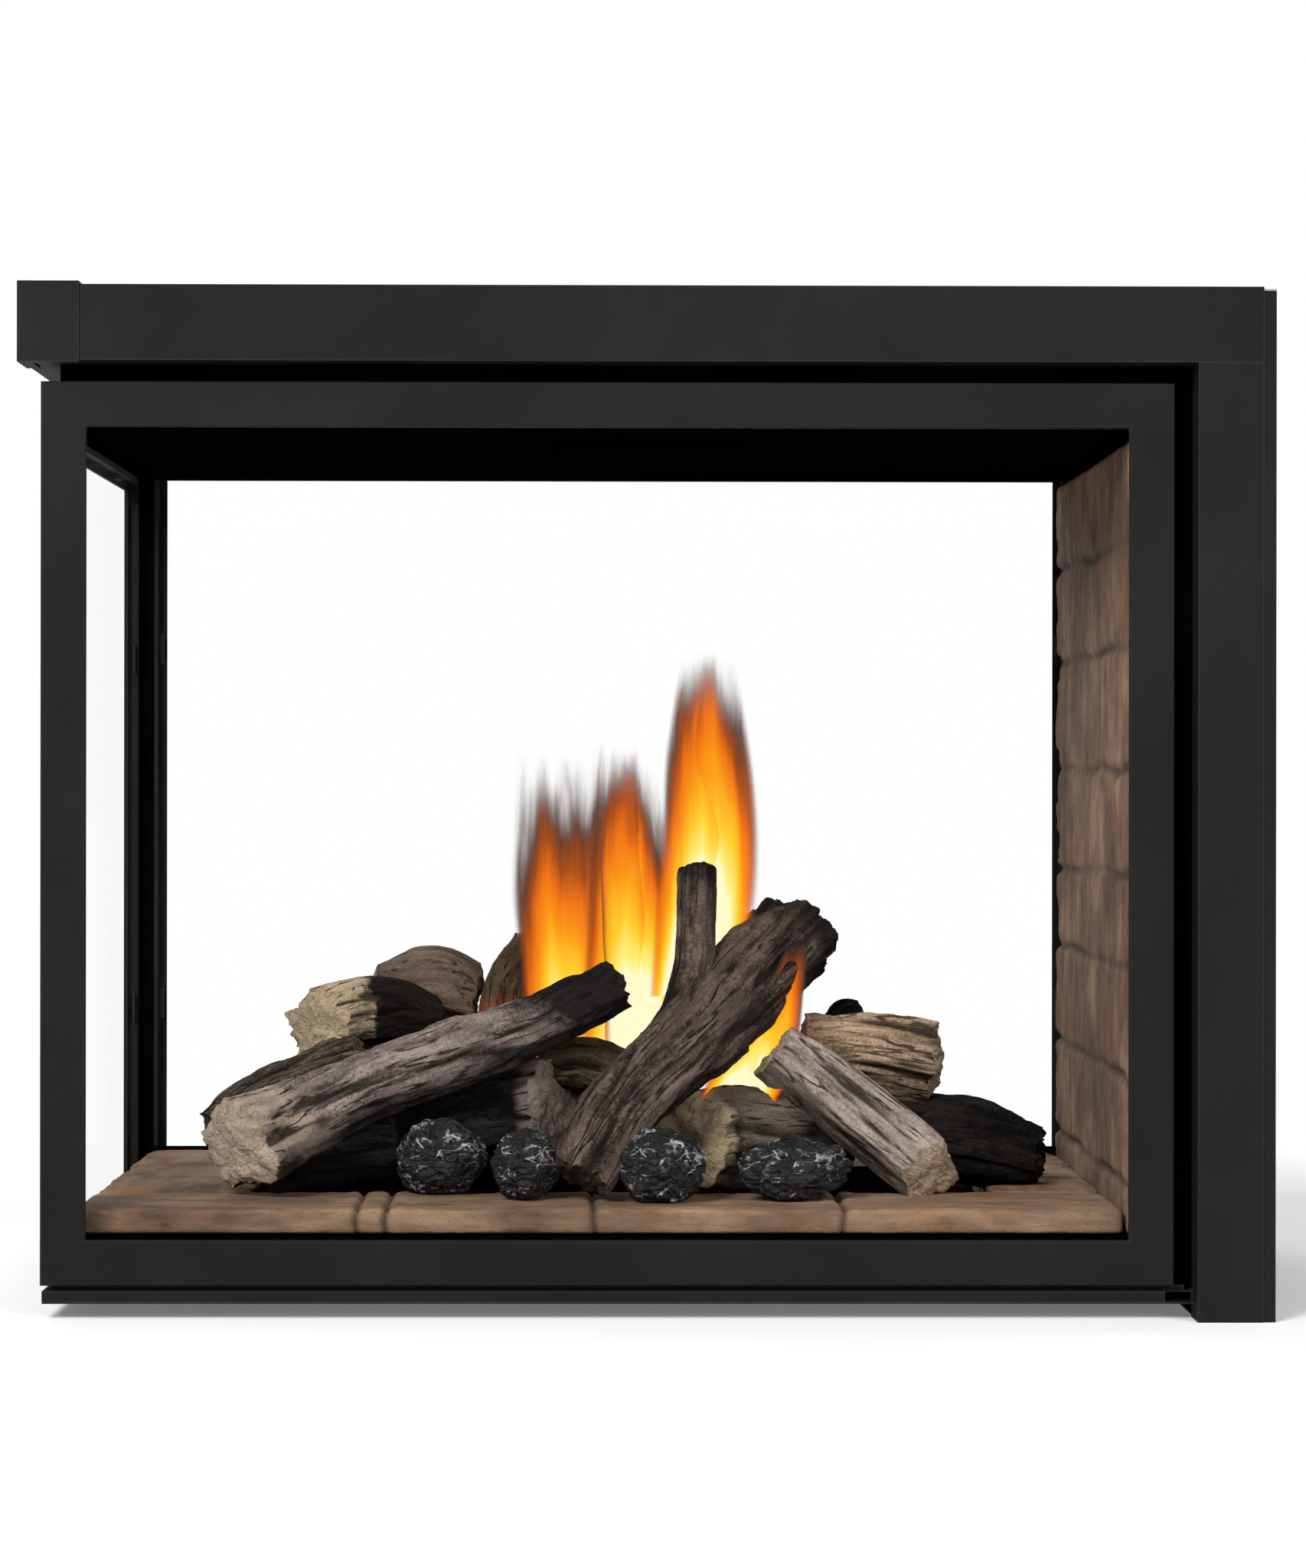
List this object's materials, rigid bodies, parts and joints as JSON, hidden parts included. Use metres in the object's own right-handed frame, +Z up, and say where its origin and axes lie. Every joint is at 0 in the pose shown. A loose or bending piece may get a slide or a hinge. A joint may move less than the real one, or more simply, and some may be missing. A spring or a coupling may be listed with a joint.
{
  "type": "gas fireplace",
  "caption": "Three-sided built-in gas fireplace with tilt-out glass doors, a brick-lined closed end, hearth bricks, a log set on a burner, gas controls and coaxial vent collars.",
  "frame": {"origin": "middle of the footprint, at floor level under the posts and skids", "axes": "+X along the long front towards the closed brick end, -Y out of the front glass, +Z up"},
  "size_m": [1.107, 0.61, 0.937],
  "materials": {
    "charcoal_sheet": "matte charcoal powder coat",
    "black_sheet": "flat black heat paint",
    "galvanised": "galvanised sheet",
    "fire_brick": "moulded refractory brick, matte",
    "glass": "clear ceramic glass",
    "burner_steel": "heat-darkened steel",
    "brass": "machined brass",
    "valve_metal": "die cast, bead blasted",
    "knob": "black thermoset",
    "lever": "red vinyl-coated lever",
    "bark": "painted ceramic bark, matte",
    "charred": "painted ceramic char, matte",
    "split_wood": "painted ceramic split wood, matte"
  },
  "bodies": {
    "case": {"header_front": "charcoal_sheet", "header_rear": "charcoal_sheet", "header_left": "charcoal_sheet", "corner_cover_front": "charcoal_sheet", "corner_cover_rear": "charcoal_sheet", "post_front": "charcoal_sheet", "post_rear": "charcoal_sheet", "side_panel_right": "charcoal_sheet", "access_cover": "charcoal_sheet", "top_plate": "galvanised", "base_pan": "charcoal_sheet", "door_sill": "charcoal_sheet", "firebox_floor": "black_sheet", "firebox_top": "black_sheet", "firebox_frame": "black_sheet", "exhaust_baffle": "black_sheet", "firebox_wall_right": "black_sheet", "brick_panel_right": "fire_brick", "hearth_front": "fire_brick", "hearth_left": "fire_brick", "hearth_right": "fire_brick", "hearth_rear": "fire_brick", "intake_collar": "galvanised", "exhaust_collar": "galvanised", "burner_pan": "burner_steel", "venturi_tube": "burner_steel", "manifold_pipe": "valve_metal", "pilot_tube": "brass", "gas_valve": "valve_metal", "shutoff_valve": "brass", "gas_inlet_pipe": "valve_metal", "pilot_burner": "burner_steel", "log_fork": "bark", "log_long_left": "bark", "log_front_right": "split_wood", "log_top_left": "split_wood", "log_round_back": "split_wood", "log_small_dark": "charred", "log_back_right": "split_wood", "log_centre_right": "bark", "log_mid_black": "charred", "log_under_left": "charred", "log_back_left": "bark", "log_char_right": "charred", "ember_lump_1": "charred", "ember_lump_2": "charred", "ember_lump_3": "charred", "ember_lump_4": "charred"},
    "front_door": {"front_door_frame": "charcoal_sheet", "front_door_glass": "glass"},
    "rear_door": {"rear_door_frame": "charcoal_sheet", "rear_door_glass": "glass"},
    "end_door": {"end_door_frame": "charcoal_sheet", "end_door_glass": "glass"},
    "flap_left": {"relief_flap_left": "galvanised"},
    "flap_right": {"relief_flap_right": "galvanised"},
    "shutter": {"air_shutter": "galvanised"},
    "pilot_knob": {"knob_pilot": "knob"},
    "flame_knob": {"knob_flame": "knob"},
    "gas_lever": {"shutoff_lever": "lever"}
  },
  "joints": [
    {"name": "front_door_tilt", "type": "hinge", "parent": "case", "child": "front_door", "pos_m": [-0.0356, -0.287, 0.03], "axis": [1, 0, 0], "range_deg": [0, 25]},
    {"name": "rear_door_tilt", "type": "hinge", "parent": "case", "child": "rear_door", "pos_m": [-0.0356, 0.287, 0.03], "axis": [-1, 0, 0], "range_deg": [0, 25]},
    {"name": "end_door_tilt", "type": "hinge", "parent": "case", "child": "end_door", "pos_m": [-0.5355, 0, 0.03], "axis": [0, -1, 0], "range_deg": [0, 25]},
    {"name": "flap_left_lift", "type": "hinge", "parent": "case", "child": "flap_left", "pos_m": [-0.27, 0.0425, 0.805], "axis": [-1, 0, 0], "range_deg": [0, 50]},
    {"name": "flap_right_lift", "type": "hinge", "parent": "case", "child": "flap_right", "pos_m": [0.27, 0.0425, 0.805], "axis": [-1, 0, 0], "range_deg": [0, 50]},
    {"name": "shutter_turn", "type": "hinge", "parent": "case", "child": "shutter", "pos_m": [0.2884, -0.02, 0.043], "axis": [-1, 0, 0], "range_deg": [0, 60]},
    {"name": "pilot_knob_turn", "type": "hinge", "parent": "case", "child": "pilot_knob", "pos_m": [0.5067, -0.022, 0.155], "axis": [-1, 0, 0], "range_deg": [0, 150]},
    {"name": "flame_knob_turn", "type": "hinge", "parent": "case", "child": "flame_knob", "pos_m": [0.5067, 0.022, 0.155], "axis": [-1, 0, 0], "range_deg": [0, 180]},
    {"name": "gas_lever_turn", "type": "hinge", "parent": "case", "child": "gas_lever", "pos_m": [0.5007, 0.0803, 0.155], "axis": [1, 0, 0], "range_deg": [0, 90]}
  ]
}
